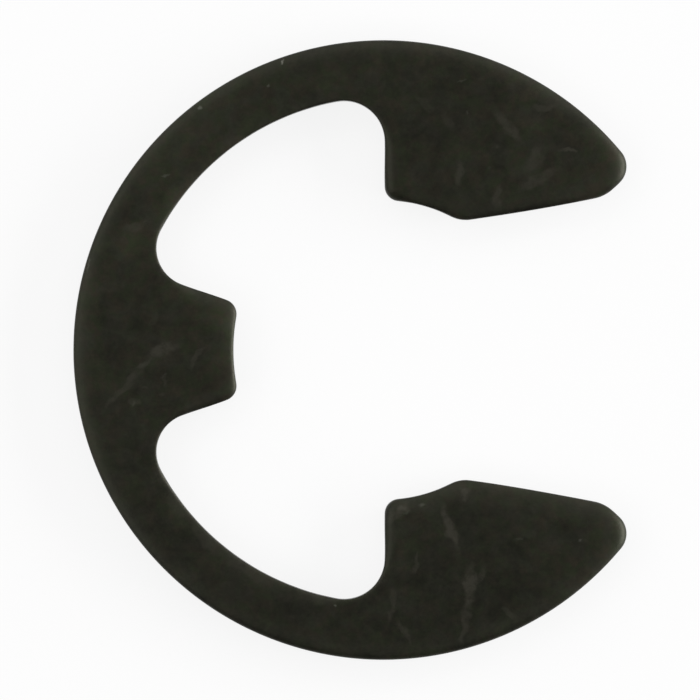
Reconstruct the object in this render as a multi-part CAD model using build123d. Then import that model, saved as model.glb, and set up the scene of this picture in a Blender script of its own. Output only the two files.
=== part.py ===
from build123d import *
import math
import os

# E-clip: a flat open retaining ring, stamped in one piece from spring-steel strip.
# It is pushed sideways onto a grooved shaft. Three lugs, one at the back and one on
# each side, then grip the bottom of the groove, and the ring stands proud of the shaft
# as a shoulder. Two large relief pockets let the ring bow spring open.
#
# Millimetres. The shaft's axis is Z through the origin, the mouth opens towards +X, and
# the two halves mirror each other across the X axis. The clip lies on its burr face at
# Z = 0, with the rolled edge that the die leaves on top.

# --- overall sizes ---
ring_diameter = 12.3          # outside of the relaxed clip
groove_diameter = 5.95        # circle on which the lugs seat
thickness = 0.7               # strip thickness

# --- ring bow and relief pockets ---
bow_width = 1.13              # radial width of the ring outside a pocket
pocket_front_radius = 0.81    # pocket into the root of a side lug
pocket_back_radius = 0.77     # pocket into the root of the back lug

# --- side lugs and mouth ---
snap_fit = 0.785              # how much narrower than the groove the mouth is
mouth_flare = 9.7             # degrees that each side of the mouth leans outwards
side_lug_rear = 0.03          # rear flank, in front of the shaft's axis
side_lug_rear_radius = 0.29
side_lug_front_radius = 0.66

# --- tips ---
tip_bevel = 0.87              # length of mouth side that the bevel takes off each tip
tip_bevel_angle = 43.0        # degrees from the X axis
tip_bevel_radius = 0.75       # soft bend from the mouth side into the bevel
tip_radius = 0.455            # from the bevel into the outside circle

# --- back lug ---
back_lug_width = 1.9          # across its face, as if the corners were sharp
back_lug_flare = 19.0         # degrees that each flank widens towards the root
back_lug_relief = 0.9         # face radius beyond the groove's, so that its middle bears
back_lug_radius = 0.3         # corners of its face

# --- stamped edge, from the top down: die roll, burnished land, fracture, burr edge ---
roll_width = 0.22             # slope drawn down into the die, narrower than any outer corner's radius
roll_depth = 0.09             # how far the slope comes down, as if its rim were sharp
roll_shoulder = 0.1           # radius from the slope into the land
roll_blend = 0.3              # radius from the slope into the top face
fracture_height = 0.26        # torn zone above the burr face
fracture_taper = 4.0          # degrees that the torn zone leans in towards the burr face
edge_break = 0.04             # burr edge, tumbled smooth

# --- sizes that follow ---
ring_radius = ring_diameter / 2
seat_radius = groove_diameter / 2
pocket_radius = ring_radius - bow_width
half_mouth = seat_radius - snap_fit / 2
lug_height = pocket_radius - seat_radius
lug_round = 0.45 * lug_height  # largest radius that leaves a straight flank on a lug
back_face_radius = seat_radius + back_lug_relief
back_face_centre = Vector(back_lug_relief, 0)  # so that its middle touches the seat circle
roll_slope = math.atan(roll_depth / roll_width)
corner_room = min(side_lug_rear_radius, back_lug_radius) - roll_width
blend_limit = 0.9 * corner_room / math.tan(roll_slope / 2)  # the blend ends short of a corner's centre
fracture_lean = fracture_height * math.tan(math.radians(fracture_taper))

shaft_axis = Vector(0, 0)
beyond = ring_diameter        # a reach past the outside of the clip, for cuts


def towards(angle, length=1.0):
    """Step of the given length, in a direction given in degrees from +X."""
    return Vector(length, 0).rotate(Axis.Z, angle)


def exit_point(start, angle, radius, centre=shaft_axis):
    """Where a line from inside a circle, in the given direction, leaves it."""
    offset = start - centre
    half_way = offset.dot(towards(angle))
    reach = math.sqrt(half_way**2 - offset.dot(offset) + radius**2)
    return start + towards(angle, reach - half_way)


def mouth_side_start():
    """Where a side lug's rounded front meets the straight side of the mouth.

    The rounded front touches the seat circle from outside, and its lowest point sets
    the mouth's width.
    """
    y = half_mouth + side_lug_front_radius
    x = math.sqrt((seat_radius + side_lug_front_radius) ** 2 - y**2)
    return Vector(x, y) + towards(mouth_flare - 90, side_lug_front_radius)


# --- corners on the +Y half, before they are rounded ---
mouth_side = mouth_side_start() - towards(mouth_flare, seat_radius)  # back in the throat
side_lug_front = exit_point(mouth_side, mouth_flare, seat_radius)
mouth_end = exit_point(mouth_side, mouth_flare, ring_radius)
bevel_start = mouth_end - towards(mouth_flare, tip_bevel)
tip = exit_point(bevel_start, tip_bevel_angle, ring_radius)

rear_flank = Vector(side_lug_rear, 0)
side_lug_corner = exit_point(rear_flank, 90, seat_radius)
pocket_front = exit_point(rear_flank, 90, pocket_radius)

flank_angle = 180 - back_lug_flare
back_flank = Vector(-seat_radius, back_lug_width / 2) - towards(flank_angle, seat_radius)
back_lug_corner = exit_point(back_flank, flank_angle, back_face_radius, back_face_centre)
pocket_back = exit_point(back_flank, flank_angle, pocket_radius)


def both_halves(points):
    """Closed outline through points on +Y and their mirror images."""
    return Polygon(points, [Vector(p.X, -p.Y) for p in reversed(points)])


def mouth():
    """Flared opening between the side lugs, widened by the bevels of the tips."""
    bevel_far = bevel_start + towards(tip_bevel_angle, beyond)
    return both_halves([mouth_side, bevel_start, bevel_far])


def back_lug():
    """Lug opposite the mouth, wider at its root, with a shallow hollow face."""
    root = back_flank + towards(flank_angle, beyond)
    return both_halves([root, back_flank]) - Pos(back_face_centre) * Circle(back_face_radius)


def pockets():
    """Relief pockets behind the side lugs, one on each side of the back lug."""
    behind = Pos(side_lug_rear - beyond, 0) * Rectangle(2 * beyond, 2 * beyond)
    return (Circle(pocket_radius) & behind) - back_lug()


def rounded(shape, corner, radius):
    """The outline with one corner and its mirror image rounded."""
    mirrored = Vector(corner.X, -corner.Y)
    pair = [shape.vertices().sort_by_distance(p)[0] for p in (corner, mirrored)]
    return fillet(pair, radius)


def outline():
    """Flat shape of the clip, at the widest level of its stamped edge."""
    shape = Circle(ring_radius) - Circle(seat_radius) - mouth() - pockets()
    shape = rounded(shape, tip, tip_radius)
    shape = rounded(shape, bevel_start, tip_bevel_radius)
    shape = rounded(shape, side_lug_front, side_lug_front_radius)
    shape = rounded(shape, side_lug_corner, side_lug_rear_radius)
    shape = rounded(shape, pocket_front, min(pocket_front_radius, lug_round))
    shape = rounded(shape, pocket_back, min(pocket_back_radius, lug_round))
    return rounded(shape, back_lug_corner, back_lug_radius)


def die_rolled(clip):
    """The top edge drawn down: a shallow slope, eased into the top face and the land."""
    top_face = clip.faces().sort_by(Axis.Z)[-1]
    clip = chamfer(top_face.edges(), roll_width, roll_depth, reference=top_face)
    rim = clip.edges().filter_by_position(Axis.Z, thickness - roll_depth, thickness - roll_depth)
    clip = fillet(rim, roll_shoulder)
    return fillet(clip.faces().sort_by(Axis.Z)[-1].edges(), min(roll_blend, blend_limit))


def stamped(shape):
    """The strip's full thickness, with the edge that shearing leaves all round."""
    clip = die_rolled(extrude(shape, thickness))
    burr_face = clip.faces().sort_by(Axis.Z)[0]
    clip = chamfer(burr_face.edges(), fracture_lean, fracture_height, reference=burr_face)
    return fillet(clip.faces().sort_by(Axis.Z)[0].edges(), edge_break)


e_clip = stamped(outline())
e_clip.label = "e_clip"

os.makedirs("parts", exist_ok=True)
export_step(e_clip, "parts/e_clip.step")
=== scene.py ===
import math
import random

import bpy
import numpy as np
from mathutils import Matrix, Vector, kdtree, noise
from mathutils.geometry import delaunay_2d_cdt


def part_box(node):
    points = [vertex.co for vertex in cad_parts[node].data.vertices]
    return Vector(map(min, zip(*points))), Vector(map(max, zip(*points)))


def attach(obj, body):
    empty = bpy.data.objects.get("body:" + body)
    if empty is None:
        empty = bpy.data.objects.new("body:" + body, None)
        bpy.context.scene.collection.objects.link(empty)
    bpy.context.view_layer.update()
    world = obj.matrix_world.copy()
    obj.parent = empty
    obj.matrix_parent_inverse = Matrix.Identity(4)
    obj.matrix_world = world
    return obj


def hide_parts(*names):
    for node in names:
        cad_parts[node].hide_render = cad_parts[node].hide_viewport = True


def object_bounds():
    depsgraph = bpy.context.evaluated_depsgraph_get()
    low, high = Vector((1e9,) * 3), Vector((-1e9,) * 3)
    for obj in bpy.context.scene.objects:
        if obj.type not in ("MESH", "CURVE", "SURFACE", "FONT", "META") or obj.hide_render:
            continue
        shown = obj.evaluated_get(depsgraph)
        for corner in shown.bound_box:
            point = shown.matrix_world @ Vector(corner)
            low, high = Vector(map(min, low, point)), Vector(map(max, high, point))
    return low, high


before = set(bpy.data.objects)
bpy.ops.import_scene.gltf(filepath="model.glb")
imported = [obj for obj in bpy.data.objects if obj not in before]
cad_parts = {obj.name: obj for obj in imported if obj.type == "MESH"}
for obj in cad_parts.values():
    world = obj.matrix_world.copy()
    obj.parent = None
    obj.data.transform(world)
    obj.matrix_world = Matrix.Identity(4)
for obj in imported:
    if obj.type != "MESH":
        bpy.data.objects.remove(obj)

# An e-clip of dark, oiled spring steel, lying on its burr face and seen from straight above.
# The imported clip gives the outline, the box and the levels of the sheared edge. The piece
# built here stands for it, with a finer mesh: the rolled, burnished and torn zones that
# stamping leaves round the edge, and a top face that is not quite flat.

MM = 0.001
cad_box = [list(corner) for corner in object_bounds()]
clip_low, clip_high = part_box("e_clip")
top, bottom = clip_high.z, clip_low.z


# ---------------------------------------------------------------- outline

WELD = 0.0001 * MM           # packed points that agree to within this are one point
UPRIGHT = 0.01               # a normal that leans less than this is on the upright land
STRAIGHT = 0.0001            # a side of the rim that turns less than this, in radians, is straight
OUTLINE_STEP = 0.035 * MM    # between points of the fine outline
TRACED = 4                   # traced points to each of those, before they are spread evenly


def land_of(node):
    """The burnished land's two levels, and the points and outward normals round its rim."""
    mesh = node.data
    places = np.array([v.co for v in mesh.vertices])
    corners = np.array([loop.vertex_index for loop in mesh.loops]).reshape(-1, 3)
    normals = np.array([n.vector for n in mesh.corner_normals]).reshape(-1, 3, 3)
    upright = (abs(normals[:, :, 2]) < UPRIGHT).all(axis=1)
    corners, normals = corners[upright], normals[upright]
    levels = places[corners][:, :, 2]
    land_low, land_high = levels.min(), levels.max()

    _, point_of = np.unique(np.round(places[:, :2] / WELD), axis=0, return_inverse=True)
    point_of = point_of.ravel()
    beside, place_at, normal_at = {}, {}, {}
    for face, face_normals, heights in zip(corners, normals, levels):
        rim = [i for i in range(3) if heights[i] > land_high - WELD]
        if len(rim) != 2:
            continue
        for i, j in (rim, rim[::-1]):
            here = point_of[face[i]]
            beside.setdefault(here, set()).add(point_of[face[j]])
            place_at[here] = places[face[i]][:2]
            normal_at[here] = normal_at.get(here, 0) + face_normals[i][:2]

    chain = [min(beside)]
    while True:
        onward = [p for p in beside[chain[-1]] if p not in chain[-2:]]
        if not onward or onward[0] == chain[0]:
            break
        chain.append(onward[0])
    points = np.array([place_at[p] for p in chain])
    outward = np.array([normal_at[p] for p in chain])
    outward /= np.linalg.norm(outward, axis=1)[:, None]
    following = np.roll(points, -1, axis=0)
    if np.sum(points[:, 0] * following[:, 1] - following[:, 0] * points[:, 1]) < 0:
        points, outward = points[::-1], outward[::-1]
    return land_low, land_high, points, outward


def fine_outline(points, outward):
    """Even, close points round the same arcs and lines, with normals and curvature (convex above 0).

    Each side of the rim becomes a cubic curve that starts and ends along the rim. Its pull is
    the length of its tangents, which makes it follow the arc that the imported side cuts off.
    """
    along = np.stack([-outward[:, 1], outward[:, 0]], axis=1)
    traced, heading = [], []
    for i in range(len(points)):
        a, b = points[i - 1], points[i]
        along_a, along_b = along[i - 1], along[i]
        chord = np.linalg.norm(b - a)
        turn = math.atan2(along_a[0] * along_b[1] - along_a[1] * along_b[0], along_a @ along_b)
        straight = abs(turn) < STRAIGHT
        pull = chord if straight else 2 * chord * math.tan(turn / 4) / math.sin(turn / 2)
        count = math.ceil(TRACED * chord / OUTLINE_STEP)
        for u in np.arange(count) / count:
            traced.append(
                (2 * u**3 - 3 * u**2 + 1) * a + (u**3 - 2 * u**2 + u) * pull * along_a
                + (3 * u**2 - 2 * u**3) * b + (u**3 - u**2) * pull * along_b
            )
            ahead = (
                (6 * u**2 - 6 * u) * (a - b) + (3 * u**2 - 4 * u + 1) * pull * along_a
                + (3 * u**2 - 2 * u) * pull * along_b
            )
            heading.append(math.atan2(ahead[1], ahead[0]))
    traced, heading = np.array(traced + traced[:1]), np.unwrap(heading + heading[:1])
    gone = np.concatenate([[0], np.cumsum(np.linalg.norm(np.diff(traced, axis=0), axis=1))])
    stops = np.linspace(0, gone[-1], round(gone[-1] / OUTLINE_STEP), endpoint=False)
    x, y, heading = (np.interp(stops, gone, values) for values in (*traced.T, heading))
    normals = np.stack([np.sin(heading), -np.cos(heading)], axis=1)
    return np.stack([x, y], axis=1), normals, np.gradient(heading, stops)


land_low, land_high, rim_points, rim_outward = land_of(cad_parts["e_clip"])
outline, outward, bend = fine_outline(rim_points, rim_outward)


# ---------------------------------------------------------------- stamped edge

ROLL_WIDTH = 0.47 * MM       # how far in from the land the top starts to roll over
ROLL_SPREAD = 0.03 * MM      # uneven width of the roll
ROLL_PATCH = 1.1 * MM        # length of outline over which it varies
ROLL_PATCH_FINE = 0.3 * MM   # and the same for a finer part of it
LUG_REACH = 3.9 * MM         # an edge of the back half nearer to the shaft's axis is the back lug's
LUG_END = 5.3 * MM           # one of the front half further from it than this is the bow's
LUG_FADE = 0.5 * MM          # and a side lug's roll fades out over this distance before it
LUG_BLEND = 0.35 * MM        # stretch of outline over which the bow's roll turns into a lug's
INNER_BLEND = 0.25 * MM      # and into a pocket's or the back lug's face
LUG_ROLL = 0.06              # share by which the roll is wider on side lugs, mouth and flanks
POCKET_ROLL = (0.15, 0.45)   # shares by which it is narrower and shallower where the bow faces the axis
BACK_ROLL = (0.39, 0.37)     # and on the back lug's face
BACK_FLANK = 0.85            # how far the back lug's flanks are like the side lugs and the mouth
FLANK_ROLL = 0.25            # share by which the roll is shallower on those flanks
CORNER = 0.5 * MM            # radius of a tight convex corner
CORNER_ROLL = 0.25           # share by which the roll is deeper round such a corner
HOLLOW_ROLL = 0.9            # share by which it is narrower and shallower round a tight hollow one
CORNER_REACH = 0.3 * MM      # stretch of outline over which the roll changes
CORNER_ROOM = 0.9            # share of a convex corner's radius that the roll may take up
BOW_POWERS = (2.0, 2.0)      # superellipse of the roll's section on the bow: an even curve
LUG_POWERS = (1.1, 1.7)      # and on side lugs, mouth and flanks: a slope with a tight shoulder
FRACTURE_LEAN = 0.018 * MM   # inward lean of the torn zone at the burr face
TEAR = 0.012 * MM            # depth of the torn zone's grain
TEAR_GRAIN = 0.11 * MM       # size of that grain
TEAR_GRAIN_FINE = 0.05 * MM  # and of a finer part of it
TEAR_START = 1 / 3           # share of the torn zone's height over which the grain sets in
TEAR_LINE = 0.045 * MM       # how far the torn zone's upper line wanders up and down
TEAR_WANDER = 0.35 * MM      # length of outline over which it does
EDGE_BREAK = 0.04 * MM       # radius of the tumbled burr edge
FACE_STEP = 0.13 * MM        # between points on the flat faces
FACE_JITTER = 0.2            # share of that by which each point is moved at random
FACE_GAP = 0.55              # share of it that is kept clear along the edge
FACE_WAVE = 0.004 * MM       # how far the top face is out of flat
FACE_PATCH = 2.6 * MM        # size of its waves
FACE_PATCH_FINE = 0.8 * MM   # and of the finer ones
ROLL_ROWS, LAND_ROWS, TORN_ROWS, BREAK_ROWS = 11, 3, 7, 4
INSIDE_ONLY = 1              # asks the triangulation for the triangles inside the loop alone
SAME_POINT = 1e-7            # millimetres within which it takes two points for one


def ripple(x, y, z, size, seed=0.0):
    """Smooth noise from -1 to 1 whose patches are about the given size."""
    return noise.noise(Vector((x / size + seed, y / size - seed, z / size + 3 * seed)))


def reach_of(distance):
    """How many outline points lie within a distance."""
    return round(distance / OUTLINE_STEP)


def smoothed(values, reach):
    """Values round the outline, each averaged over its neighbours."""
    weight = np.hanning(2 * reach + 3)[1:-1]
    wrapped = np.concatenate([values[-reach:], values, values[:reach]])
    return np.convolve(wrapped, weight / weight.sum(), mode="valid")


def lug_share():
    """1 on the seat's two sides and the sides of the mouth, near 1 on the back lug's flanks, else 0."""
    from_axis = np.linalg.norm(outline, axis=1)
    facing = abs(np.sum(outline * outward, axis=1)) / from_axis
    off_bow = np.clip((LUG_END - from_axis) / LUG_FADE, 0, 1)
    off_rear = 1 - np.clip(-outward[:, 0], 0, 1)**2
    flank = BACK_FLANK * (1 - facing**3) * (from_axis < LUG_REACH)
    return smoothed(np.where(outline[:, 0] > 0, off_bow * off_rear, flank), reach_of(LUG_BLEND))


def inner_shares():
    """1 where the bow faces the shaft's axis across a pocket, and the same for the back lug's face."""
    from_axis = np.linalg.norm(outline, axis=1)
    facing = np.clip(-np.sum(outline * outward, axis=1) / from_axis, 0, 1) * (outline[:, 0] < 0)
    sides = from_axis > LUG_REACH, from_axis < LUG_REACH
    return [smoothed(facing * side, reach_of(INNER_BLEND)) for side in sides]


def rolls():
    """Width, depth and the two powers of the roll's section, at each outline point."""
    uneven = np.array([
        ripple(x, y, 0, ROLL_PATCH, 5.0) + 0.6 * ripple(x, y, 0, ROLL_PATCH_FINE, 9.0)
        for x, y in outline
    ])
    reach = reach_of(CORNER_REACH)
    convex = smoothed(np.clip(bend * CORNER, -1, 1), reach)
    lug = lug_share()
    pocket, back = inner_shares()
    narrower, shallower = (
        (1 - in_pocket * pocket - on_back * back) * (1 + HOLLOW_ROLL * np.minimum(convex, 0))
        for in_pocket, on_back in zip(POCKET_ROLL, BACK_ROLL)
    )
    width = (ROLL_WIDTH + ROLL_SPREAD * uneven) * (1 + LUG_ROLL * lug) * narrower
    room = np.where(bend > 0, CORNER_ROOM / np.maximum(bend, 1e-9), np.inf)
    width = np.minimum(width, room)
    narrowest = np.min([np.roll(width, k) for k in range(-reach, reach + 1)], axis=0)
    depth = (top - land_high) * (1 + CORNER_ROLL * np.maximum(convex, 0)) * shallower
    depth *= 1 - FLANK_ROLL * lug * (outline[:, 0] < 0)
    powers = [bow * (1 - lug) + on_lug * lug for bow, on_lug in zip(BOW_POWERS, LUG_POWERS)]
    return smoothed(narrowest, reach), depth, *powers


def wandering(size, seed):
    """Noise along the outline, in two sizes."""
    return np.array([
        ripple(x, y, 0, size, seed) + 0.5 * ripple(x, y, 0, size / 4, 2 * seed)
        for x, y in outline
    ])


def rows():
    """The edge's rows of points from the top face down to the burr face.

    Each row gives its inset from the outline, its height, and how rolled and torn it is.
    """
    width, depth, power, root = rolls()
    line = land_low + TEAR_LINE * wandering(TEAR_WANDER, 2.0)
    stack = []
    for k in range(ROLL_ROWS + 1):
        across = math.sin(math.pi / 2 * k / ROLL_ROWS)
        drop = depth * (1 - (1 - across**power) ** (1 / root))
        stack.append((width * (1 - across), top - drop, across, 0))
    for k in range(1, LAND_ROWS + 1):
        share = k / LAND_ROWS
        stack.append((0 * width, (top - depth) * (1 - share) + line * share, 1, 0))
    for k in range(1, TORN_ROWS + 1):
        share = k / TORN_ROWS
        height = line * (1 - share) + (bottom + EDGE_BREAK) * share
        grain = np.array([
            abs(ripple(x, y, z, TEAR_GRAIN, 7.0)) + 0.6 * abs(ripple(x, y, z, TEAR_GRAIN_FINE, 1.0))
            for (x, y), z in zip(outline, height)
        ])
        stack.append((FRACTURE_LEAN * share + TEAR * grain * min(1, share / TEAR_START), height, 0, 1))
    torn_foot = stack[-1][0]
    for k in range(1, BREAK_ROWS + 1):
        angle = math.pi / 2 * k / BREAK_ROWS
        inset = torn_foot + EDGE_BREAK * (1 - math.cos(angle))
        height = np.full(len(outline), bottom + EDGE_BREAK * (1 - math.sin(angle)))
        stack.append((inset, height, k / BREAK_ROWS / 2, 1 - k / BREAK_ROWS))
    return stack


def face_fill(loop, seed):
    """Triangles that fill a loop of points, with evenly scattered points inside it."""
    dice = random.Random(seed)
    tree = kdtree.KDTree(len(loop))
    for i, (x, y) in enumerate(loop):
        tree.insert((x, y, 0), i)
    tree.balance()
    inner = []
    low, high = loop.min(axis=0), loop.max(axis=0)
    row_step = FACE_STEP * math.sqrt(3) / 2
    for j in range(int((high[1] - low[1]) / row_step) + 1):
        for i in range(int((high[0] - low[0]) / FACE_STEP) + 1):
            x = low[0] + FACE_STEP * (i + j % 2 / 2 + dice.uniform(-FACE_JITTER, FACE_JITTER))
            y = low[1] + row_step * (j + dice.uniform(-FACE_JITTER, FACE_JITTER))
            if tree.find((x, y, 0))[2] > FACE_GAP * FACE_STEP:
                inner.append((x, y))
    points = [Vector(p) / MM for p in [*loop, *inner]]
    count = len(loop)
    sides = [(i, (i + 1) % count) for i in range(count)]
    placed, _, faces, origin, _, _ = delaunay_2d_cdt(points, sides, [], INSIDE_ONLY, SAME_POINT)
    return [p * MM for p in placed], faces, origin


def build_clip():
    """The whole clip as one closed mesh."""
    stack = rows()
    count = len(outline)
    verts, faces = [], []
    rolled, torn = [], []
    for inset, height, row_rolled, row_torn in stack:
        ring = outline - outward * inset[:, None]
        verts += [(x, y, z) for (x, y), z in zip(ring, height)]
        rolled += [row_rolled] * count
        torn += [row_torn] * count
    for r in range(len(stack) - 1):
        for i in range(count):
            j = (i + 1) % count
            upper, lower = r * count, (r + 1) * count
            faces.append((upper + i, lower + i, lower + j, upper + j))
    for r, height, seed in ((0, top, 3), (len(stack) - 1, bottom, 4)):
        loop = np.array([v[:2] for v in verts[r * count:(r + 1) * count]])
        placed, triangles, origin = face_fill(loop, seed)
        vertex_of = {}
        for k, source in enumerate(origin):
            if source and source[0] < count:
                vertex_of[k] = r * count + source[0]
        for triangle in triangles:
            for k in triangle:
                if k not in vertex_of:
                    vertex_of[k] = len(verts)
                    verts.append((placed[k][0], placed[k][1], height))
            corners = [vertex_of[k] for k in triangle]
            faces.append(tuple(corners if height == top else corners[::-1]))
    waved = []
    for x, y, z in verts:
        dip = 0.5 + 0.35 * ripple(x, y, 0, FACE_PATCH, 11.0) + 0.15 * ripple(x, y, 0, FACE_PATCH_FINE, 13.0)
        waved.append((x, y, z - FACE_WAVE * dip * (z - bottom) / (top - bottom)))
    mesh = bpy.data.meshes.new("spring_steel_clip")
    mesh.from_pydata(waved, [], faces)
    for name, values in (("rolled", rolled), ("torn", torn)):
        values += [0.0] * (len(waved) - len(values))
        mesh.attributes.new(name, "FLOAT", "POINT").data.foreach_set("value", values)
    mesh.validate()
    mesh.shade_smooth()
    clip = bpy.data.objects.new("spring_steel_clip", mesh)
    bpy.context.scene.collection.objects.link(clip)
    return clip


clip = build_clip()


# ---------------------------------------------------------------- finish

class Graph:
    """Short calls that add nodes to a material or a world and link them."""

    def __init__(self, owner):
        owner.use_nodes = True
        self.nodes = owner.node_tree.nodes
        self.links = owner.node_tree.links
        self.nodes.clear()

    def add(self, kind, inputs=None, **settings):
        node = self.nodes.new("ShaderNode" + kind)
        for key, value in settings.items():
            setattr(node, key, value)
        for key, value in (inputs or {}).items():
            socket = node.inputs[key]
            if isinstance(value, bpy.types.NodeSocket):
                self.links.new(value, socket)
            else:
                socket.default_value = value
        return node

    def math(self, operation, a, b=0.0, c=0.0):
        return self.add("Math", {0: a, 1: b, 2: c}, operation=operation).outputs[0]

    def ramp(self, value, low, high, to_low=0.0, to_high=1.0, smooth=True):
        kind = "SMOOTHSTEP" if smooth else "LINEAR"
        inputs = {"Value": value, "From Min": low, "From Max": high, "To Min": to_low, "To Max": to_high}
        return self.add("MapRange", inputs, interpolation_type=kind).outputs["Result"]

    def noise(self, place, scale, detail=2.0, roughness=0.5, distortion=0.0):
        inputs = {
            "Vector": place, "Scale": scale, "Detail": detail, "Roughness": roughness,
            "Distortion": distortion,
        }
        return self.add("TexNoise", inputs).outputs["Fac"]

    def mix(self, share, a, b):
        node = self.nodes.new("ShaderNodeMix")
        node.data_type = "RGBA"
        for index, value in ((0, share), (6, a), (7, b)):
            if isinstance(value, bpy.types.NodeSocket):
                self.links.new(value, node.inputs[index])
            else:
                node.inputs[index].default_value = value
        return node.outputs[2]

    def scaled(self, vector, factor):
        return self.add("VectorMath", {0: vector, "Scale": factor}, operation="SCALE").outputs[0]

    def moved(self, place, location=(0, 0, 0), angle=0.0, size=(1, 1, 1)):
        """Place as measured from a mark's own centre, turned with it, in shares of its size."""
        turn = (0, 0, math.radians(angle))
        inputs = {"Vector": place, "Location": location, "Rotation": turn, "Scale": size}
        return self.add("Mapping", inputs, vector_type="TEXTURE").outputs[0]


# Marks, in millimetres from the shaft's axis: centre x, y, direction in degrees, length,
# width, strength. Paler and darker areas go through to the burr face; some of them are painted
# highlights and painted shade. Rubbed marks and specks of bare metal are on the top face and the edge's
# upper part alone.
PALE_AREAS_AND_HIGHLIGHTS = (
    # painted highlight: the upper left of the bow made paler
    (-3.9, 4.1, 45, 9.0, 4.4, 0.60),
    (4.2, 3.2, -30, 4.2, 3.2, 0.72),
    (4.3, -3.2, 30, 4.0, 3.0, 0.30),
    (-5.3, 1.6, 75, 3.6, 2.2, 0.35),
    (-3.55, 0.85, -20, 1.9, 1.1, 0.75),
    (-3.15, 0.20, 0, 1.5, 2.4, 0.50),
    (0.40, 3.30, 0, 1.1, 1.0, 0.65),
    # painted highlight: the two tips made paler where the light catches them
    (4.75, 3.60, 0, 2.3, 2.4, 1.3),
    (4.80, -3.65, 0, 2.0, 2.2, 1.15),
    (3.75, -4.30, 30, 1.4, 0.9, 0.75),
    (4.00, -4.60, 41, 2.8, 0.5, 0.95),
    (2.85, 4.55, -65, 2.2, 1.1, 0.75),
    (3.15, 5.10, -35, 1.6, 0.7, 0.6),
    (0.20, 4.20, 90, 1.2, 0.7, 0.4),
    (-1.05, 5.35, 5, 2.1, 1.4, 0.8),
    (-3.00, 4.15, 38, 1.6, 0.8, 1.1),
    (-4.15, 3.10, 50, 1.1, 0.6, 1.5),
    (-5.15, 2.20, 5, 2.2, 1.4, 1.0),
    (-6.00, 0.30, 90, 4.6, 1.3, 0.75),
    (-5.82, 1.15, 80, 1.4, 0.8, 1.4),
    (-4.10, -3.30, -50, 1.2, 0.7, 0.6),
    (-5.85, -1.70, 110, 1.0, 0.7, 0.5),
    (-4.65, -0.20, 8, 1.8, 0.9, 0.65),
    (-4.15, 1.10, -30, 0.9, 0.6, 0.8),
    (-3.62, 0.12, 60, 0.8, 0.6, 0.6),
    (-3.15, 0.65, -20, 1.3, 1.1, 2.1),
    (-3.10, -0.80, 20, 1.0, 0.7, 1.1),
)
DARK_AREAS_AND_SHADE = (
    (0.95, -4.35, 38, 3.0, 1.8, 0.5),
    (1.80, -4.00, 0, 1.6, 1.4, 0.3),
    (3.65, 3.72, -30, 1.7, 1.2, 0.6),
    (1.45, 4.60, 10, 1.8, 0.9, 0.3),
    (1.30, 3.30, 0, 1.6, 0.8, 0.3),
    (-4.95, -2.20, 100, 1.7, 1.1, 0.4),
    (-5.15, 1.10, 80, 1.1, 0.7, 0.35),
    (-4.80, 2.85, 60, 0.8, 0.6, 0.4),
    (3.60, -3.50, -35, 1.5, 1.0, 0.45),
    (-4.35, -1.35, -30, 1.4, 0.9, 0.5),
    # painted shade: darker along the bow's lower rim
    (1.60, -5.75, 10, 2.2, 0.7, 0.45),
    (-0.20, -5.35, 5, 7.0, 1.8, 0.22),
    (2.20, -4.90, 20, 2.6, 1.7, 0.45),
    (0.15, -3.80, 0, 0.8, 1.0, 0.45),
    # painted shade: dark line along the upper arm's edge that faces down into the mouth
    (3.05, 2.80, 10, 3.6, 0.30, 1.15),
    (4.62, 3.24, 38, 1.1, 0.28, 1.3),
)
RUBS = (
    (-5.15, -0.78, 48, 1.5, 0.17, 0.65),
    (-4.72, -0.28, 40, 0.6, 0.15, 0.5),
    (-4.36, 0.00, 22, 0.8, 0.38, 0.9),
    (-4.31, -0.58, 75, 0.34, 0.11, 0.45),
    (-4.72, -0.76, 5, 0.24, 0.11, 0.4),
    (-4.93, -1.07, -15, 0.32, 0.17, 0.55),
    (-4.37, -0.88, 40, 0.24, 0.10, 0.4),
    (-4.52, 0.62, 65, 0.40, 0.12, 0.25),
    (-3.69, -0.11, 53, 0.7, 0.16, 0.6),
    (-4.90, 2.45, 10, 0.7, 0.2, 0.65),
    (0.80, 4.95, -50, 0.7, 0.2, 0.3),
    (2.48, 4.45, -50, 1.15, 0.32, 0.7),
    (3.16, 4.83, 6, 0.72, 0.22, 0.6),
    (3.63, 3.95, 3, 0.5, 0.14, 0.9),
    (3.02, 3.82, 60, 0.7, 0.42, 0.6),
    (3.06, 3.40, 27, 1.2, 0.26, 0.6),
    (1.49, 3.52, 90, 0.8, 0.2, 0.65),
    (2.28, 3.02, 80, 0.5, 0.24, 0.65),
    (1.31, -3.47, -70, 1.15, 0.3, 1.0),
    (0.64, -4.24, 75, 0.6, 0.14, 0.55),
    (0.16, -5.05, 82, 0.9, 0.18, 0.5),
    (0.46, -5.61, -60, 0.7, 0.18, 0.55),
    (1.72, -4.68, 88, 1.15, 0.34, 0.95),
    (1.61, -5.42, 84, 1.2, 0.22, 0.6),
    (1.90, -4.50, 60, 0.7, 0.2, 0.5),
    (2.52, -5.27, -40, 0.5, 0.16, 0.45),
    (1.30, 4.55, -50, 0.6, 0.24, 0.35),
    (0.29, -3.26, 34, 0.64, 0.25, 1.0),
    (1.64, -2.83, 50, 0.40, 0.27, 0.95),
    (-4.03, -3.05, -60, 1.0, 0.50, 0.4),
    (-3.50, -3.74, -45, 1.2, 0.40, 0.4),
    (-2.65, -4.36, -35, 1.5, 0.42, 0.4),
    (-1.37, -4.93, -10, 0.9, 0.34, 0.4),
)
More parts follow.
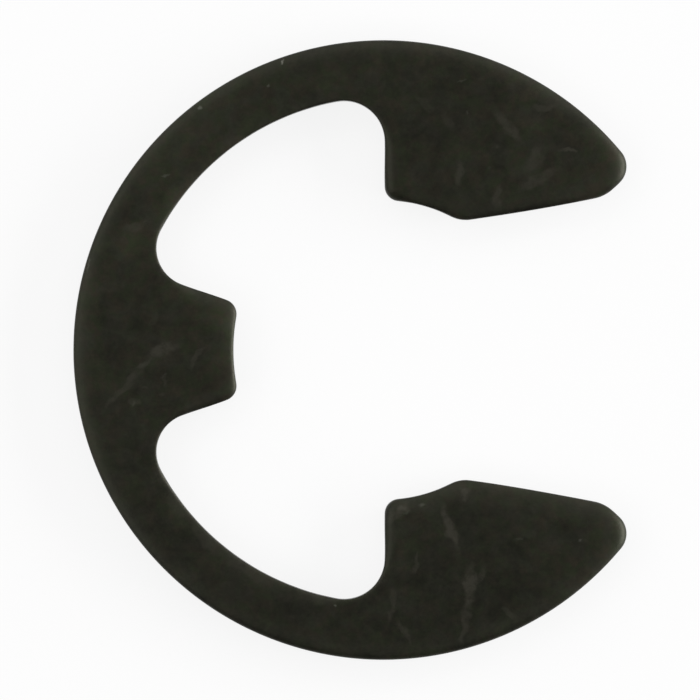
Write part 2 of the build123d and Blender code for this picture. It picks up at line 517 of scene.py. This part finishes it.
SPECKS = (
    (-3.63, 4.80, 20, 0.14, 0.10, 0.14),
    (-2.28, 5.24, 70, 0.10, 0.07, 0.06),
    (-2.00, 5.72, 65, 0.17, 0.06, 0.22),
    (-0.95, -5.07, 0, 0.08, 0.06, 0.08),
    (-4.32, 3.46, 15, 0.24, 0.06, 0.05),
    (3.91, -3.78, 30, 0.12, 0.08, 0.05),
    (0.77, -3.07, 15, 0.20, 0.11, 0.055),
    (0.47, -3.22, 30, 0.20, 0.09, 0.03),
    (1.56, 5.34, 15, 0.30, 0.06, 0.03),
    (1.67, 4.71, 80, 0.13, 0.07, 0.03),
    (2.10, 3.62, 0, 0.12, 0.09, 0.012),
    (2.26, 4.02, 40, 0.14, 0.09, 0.012),
    (2.69, -3.75, 10, 0.30, 0.09, 0.02),
    (-4.95, -1.07, 60, 0.26, 0.10, 0.02),
    (-4.79, -0.31, 20, 0.30, 0.14, 0.012),
    (-4.36, -0.51, 45, 0.30, 0.07, 0.015),
    (-5.85, 1.70, 80, 0.50, 0.07, 0.07),
)


# The finish. Colours are linear, and a noise's scale is its number of patches per millimetre.
GREEN_OXIDE = (0.0055, 0.0075, 0.0030, 1)
BROWN_OXIDE = (0.0079, 0.0064, 0.0040, 1)
GREY_OXIDE = (0.0067, 0.0069, 0.0055, 1)
RUBBED_OXIDE = (0.0273, 0.0254, 0.0199, 1)
BARE_METAL = (0.49, 0.49, 0.43, 1)
WORN_ROLL = (0.028, 0.028, 0.021, 1)
SCORED_LAND = (0.038, 0.037, 0.031, 1)
TORN_GREY = (0.0243, 0.0231, 0.0188, 1)
RUBBED_COVER = 0.9           # share of the colour that the fullest of rubbed marks takes over
WORN_COVER = 0.12            # and the same for the roll,
SCORED_COVER = 0.5           # the drag lines on the land,
TORN_COVER = 0.6             # and the torn zone
CLOUDS = ((0.9, 4, 1.2), (3.2, 4, 1.2), (12, 3, 0.75))  # noise: scale, detail, how far it swings
MOTTLING = 0.9               # how strongly clouds and areas, painted highlights and shade among them, change the oxide's colour
DARKEST = 0.15               # share of the colour that is left in the darkest place
RUB_WOBBLE = (3.2, 0.35)     # noise that bends rubbed marks: scale, and reach in millimetres
SPECK_WOBBLE = (16, 0.09)    # and specks
MARKED_ABOVE = (0.1, 0.2)    # millimetres over the torn zone at which rubs and specks start and are full
DRAG_STRETCH = 0.05          # change of drag lines down the land, as a share of that along it
ROUGHNESS = 0.46
GLOSS = 0.266                # level of the oil film's reflection
GLOSS_TINT = (1.0, 1.0, 0.78, 1)
RELIEF = 0.004 * MM          # height that the bump map stands for
RELIEF_SHARE = 0.22          # and how strongly it shows


def wobbled(g, place, scale, reach):
    """Place shifted by noise within the plane of the strip."""
    shift = g.add("TexNoise", {"Vector": place, "Scale": scale, "Detail": 3.0}).outputs["Color"]
    shift = g.add("VectorMath", {0: shift, 1: (0.5, 0.5, 0.5)}, operation="SUBTRACT").outputs[0]
    inputs = {0: shift, 1: (reach, reach, 0), 2: place}
    return g.add("VectorMath", inputs, operation="MULTIPLY_ADD").outputs[0]


def marks(g, place, spots, soft):
    """Where marks lie, seen from above, from 0 to their strength, with soft edges."""
    found = 0.0
    for x, y, angle, length, width, strength in spots:
        own = g.moved(place, (x, y, 0), angle, (length / 2, width / 2, 1))
        blob = g.add("TexGradient", {"Vector": own}, gradient_type="SPHERICAL").outputs["Fac"]
        found = g.math("MAXIMUM", found, g.math("MULTIPLY", g.ramp(blob, 0.0, soft), strength))
    return found


def clouding(g, place):
    """Clouds, patches and grain of the oxide, added up about 0."""
    found = 0.0
    for scale, detail, swing in CLOUDS:
        layer = g.noise(place, scale, detail, 0.62, 0.4)
        found = g.math("ADD", found, g.ramp(layer, 0.25, 0.75, -swing / 2, swing / 2, smooth=False))
    return found


def oxide_steel():
    """Dark, oiled oxide on stamped spring steel, worn a little lighter where it is rolled over."""
    steel = bpy.data.materials.new("dark_oxide_steel")
    g = Graph(steel)
    coordinates = g.add("TexCoord").outputs["Object"]
    place = g.scaled(coordinates, 1 / MM)
    flat_place = g.add("VectorMath", {0: place, 1: (1, 1, 0)}, operation="MULTIPLY").outputs[0]
    height = g.add("SeparateXYZ", {0: place}).outputs["Z"]
    rolled = g.add("Attribute", attribute_name="rolled").outputs["Fac"]
    torn = g.add("Attribute", attribute_name="torn").outputs["Fac"]
    upper = g.ramp(height, *(land_low / MM + rise for rise in MARKED_ABOVE))

    # green, brown and grey tints of the oxide, made lighter and darker by clouds and areas, with painted
    # highlights and painted shade among the areas
    tint = g.noise(g.moved(place, (31, 7, 3)), 4.0, 3, 0.6, 0.5)
    colour = g.mix(g.ramp(tint, 0.38, 0.62), GREEN_OXIDE, BROWN_OXIDE)
    grey = g.noise(g.moved(place, (5, 41, 3)), 2.2, 3, 0.6, 0.5)
    colour = g.mix(g.ramp(grey, 0.42, 0.62, 0.0, 0.55), colour, GREY_OXIDE)
    clouds = clouding(g, place)
    paler, darker = (marks(g, flat_place, areas, 1.0) for areas in (PALE_AREAS_AND_HIGHLIGHTS, DARK_AREAS_AND_SHADE))
    tone_and_painted_light = g.math("ADD", clouds, g.math("SUBTRACT", paler, darker))
    colour = g.scaled(colour, g.math("MAXIMUM", g.math("MULTIPLY_ADD", tone_and_painted_light, MOTTLING, 1.0), DARKEST))

    # rubbed marks, broken up by grain, and specks of bare metal
    broken = g.ramp(g.noise(flat_place, 5.0, 4, 0.65), 0.28, 0.6, 0.25, 1.0)
    rubs = marks(g, wobbled(g, flat_place, *RUB_WOBBLE), RUBS, 0.6)
    rubbed = g.math("MULTIPLY", g.math("MULTIPLY", rubs, broken), upper)
    colour = g.mix(g.math("MULTIPLY", rubbed, RUBBED_COVER), colour, RUBBED_OXIDE)
    specks = marks(g, wobbled(g, flat_place, *SPECK_WOBBLE), SPECKS, 0.9)
    colour = g.mix(g.math("MULTIPLY", specks, upper), colour, BARE_METAL)

    # thin, worn oxide on the roll, drag lines down the land, and the grey of the torn zone
    patchy = g.ramp(g.noise(place, 6.0, 4, 0.6), 0.3, 0.7, 0.35, 1.0)
    worn = g.math("MULTIPLY", g.ramp(rolled, 0.03, 0.5), patchy)
    colour = g.mix(g.math("MULTIPLY", worn, WORN_COVER), colour, WORN_ROLL)
    drag_place = g.add("VectorMath", {0: place, 1: (1, 1, DRAG_STRETCH)}, operation="MULTIPLY").outputs[0]
    drag = g.noise(drag_place, 18, 3, 0.6)
    land = g.math("MULTIPLY", g.ramp(rolled, 0.9, 1.0), g.math("SUBTRACT", 1.0, torn))
    scored = g.math("MULTIPLY", land, g.ramp(drag, 0.4, 0.65))
    colour = g.mix(g.math("MULTIPLY", scored, SCORED_COVER), colour, SCORED_LAND)
    colour = g.mix(g.math("MULTIPLY", torn, TORN_COVER), colour, TORN_GREY)

    # smoother where it is rubbed, rolled over or burnished, rougher where it is torn
    roughness = g.math("MULTIPLY_ADD", tone_and_painted_light, 0.04, ROUGHNESS)
    for share, change in ((rubbed, -0.07), (worn, -0.06), (land, -0.08), (torn, 0.2)):
        roughness = g.math("MULTIPLY_ADD", share, change, roughness)

    # grain, clouds and drag lines in relief
    relief = g.math("MULTIPLY_ADD", clouds, 0.9, g.noise(place, 60, 2, 0.6))
    relief = g.math("MULTIPLY_ADD", g.math("MULTIPLY", land, drag), 2.5, relief)
    bump = g.add("Bump", {"Strength": RELIEF_SHARE, "Distance": RELIEF, "Height": relief}).outputs[0]

    shader = g.add("BsdfPrincipled", {
        "Base Color": colour, "Roughness": roughness, "Normal": bump, "IOR": 1.5,
        "Specular IOR Level": GLOSS, "Specular Tint": GLOSS_TINT,
    })
    g.add("OutputMaterial", {"Surface": shader.outputs[0]})
    return steel


clip.data.materials.append(oxide_steel())
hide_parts("e_clip")
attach(clip, "root")


# ---------------------------------------------------------------- floor, light and camera

FLOOR_SIZE = 0.6             # metres
FLOOR_GAP = 0.002 * MM       # between the clip's lowest point and the floor
FLOOR_GLOW = 0.85            # share of the floor's look that is plain white and not its shading
PAPER = (0.9, 0.9, 0.9, 1)
WHITE = (1, 1, 1, 1)
FRAME_SHARE = 0.8862         # of the picture's height that the clip takes up
LENS, SENSOR = 400.0, 36.0   # millimetres
LAMP_DISTANCE = 0.30         # metres
LAMPS = (                    # name, direction and elevation in degrees, sides in metres, watts
    ("north", 98, 30, 0.62, 0.28, 0.627),
    ("east", 4, 14, 0.36, 0.13, 1.536),
    ("west", 185, 33, 0.44, 0.24, 0.461),
    ("south", 270, 56, 0.24, 0.14, 0.045),
)
ROOM_RISE = (0.3, 0.9)       # sines of the elevations between which the room's light grows
ROOM_GLOW = (0.051, 0.358)   # and its strength at those


def pale_floor():
    """A plain white sheet. To the eye and in reflections it stays near white, with faint shading."""
    sheet = bpy.data.materials.new("pale_sheet")
    g = Graph(sheet)
    paper = g.add("BsdfDiffuse", {"Color": PAPER}).outputs[0]
    white = g.add("Emission", {"Color": WHITE, "Strength": 1.0}).outputs[0]
    rays = g.add("LightPath").outputs
    seen = g.math("MAXIMUM", rays["Is Camera Ray"], rays["Is Glossy Ray"])
    seen = g.math("MAXIMUM", seen, rays["Is Transmission Ray"])
    mixed = g.add("MixShader", {0: g.math("MULTIPLY", seen, FLOOR_GLOW), 1: paper, 2: white}).outputs[0]
    g.add("OutputMaterial", {"Surface": mixed})
    mesh = bpy.data.meshes.new("floor")
    half = FLOOR_SIZE / 2
    corners = [(-half, -half, 0), (half, -half, 0), (half, half, 0), (-half, half, 0)]
    mesh.from_pydata(corners, [], [(0, 1, 2, 3)])
    floor = bpy.data.objects.new("floor", mesh)
    bpy.context.scene.collection.objects.link(floor)
    floor.location.z = bottom - FLOOR_GAP
    floor.data.materials.append(sheet)


def soft_light(name, direction, elevation, width, height, power):
    """A wide soft box that faces the clip."""
    lamp = bpy.data.lights.new(name, "AREA")
    lamp.shape = "RECTANGLE"
    lamp.size, lamp.size_y = width, height
    lamp.energy = power
    box = bpy.data.objects.new(name, lamp)
    bpy.context.scene.collection.objects.link(box)
    turn, rise = math.radians(direction), math.radians(elevation)
    way = Vector((math.cos(turn) * math.cos(rise), math.sin(turn) * math.cos(rise), math.sin(rise)))
    box.location = way * LAMP_DISTANCE
    box.rotation_euler = way.to_track_quat("Z", "Y").to_euler()


def room_light():
    """White light from all round, strongest from above and weak near and below the horizon."""
    room = bpy.data.worlds.new("room")
    bpy.context.scene.world = room
    g = Graph(room)
    rise = g.add("SeparateXYZ", {0: g.add("TexCoord").outputs["Generated"]}).outputs["Z"]
    strength = g.ramp(rise, *ROOM_RISE, *ROOM_GLOW)
    white = g.add("Background", {"Color": WHITE, "Strength": strength}).outputs[0]
    g.add("OutputWorld", {"Surface": white})


def camera():
    """Straight above the middle of the clip."""
    lens = bpy.data.cameras.new("camera")
    lens.lens, lens.sensor_width = LENS, SENSOR
    low, high = Vector(cad_box[0]), Vector(cad_box[1])
    middle = (low + high) / 2
    field = (high.y - low.y) / FRAME_SHARE
    eye = bpy.data.objects.new("camera", lens)
    bpy.context.scene.collection.objects.link(eye)
    eye.location = (middle.x, middle.y, high.z + field * LENS / SENSOR)
    lens.clip_start, lens.clip_end = 0.001, 10.0
    bpy.context.scene.camera = eye


pale_floor()
for lamp in LAMPS:
    soft_light(*lamp)
room_light()
camera()
bpy.context.scene.view_settings.view_transform = "Standard"
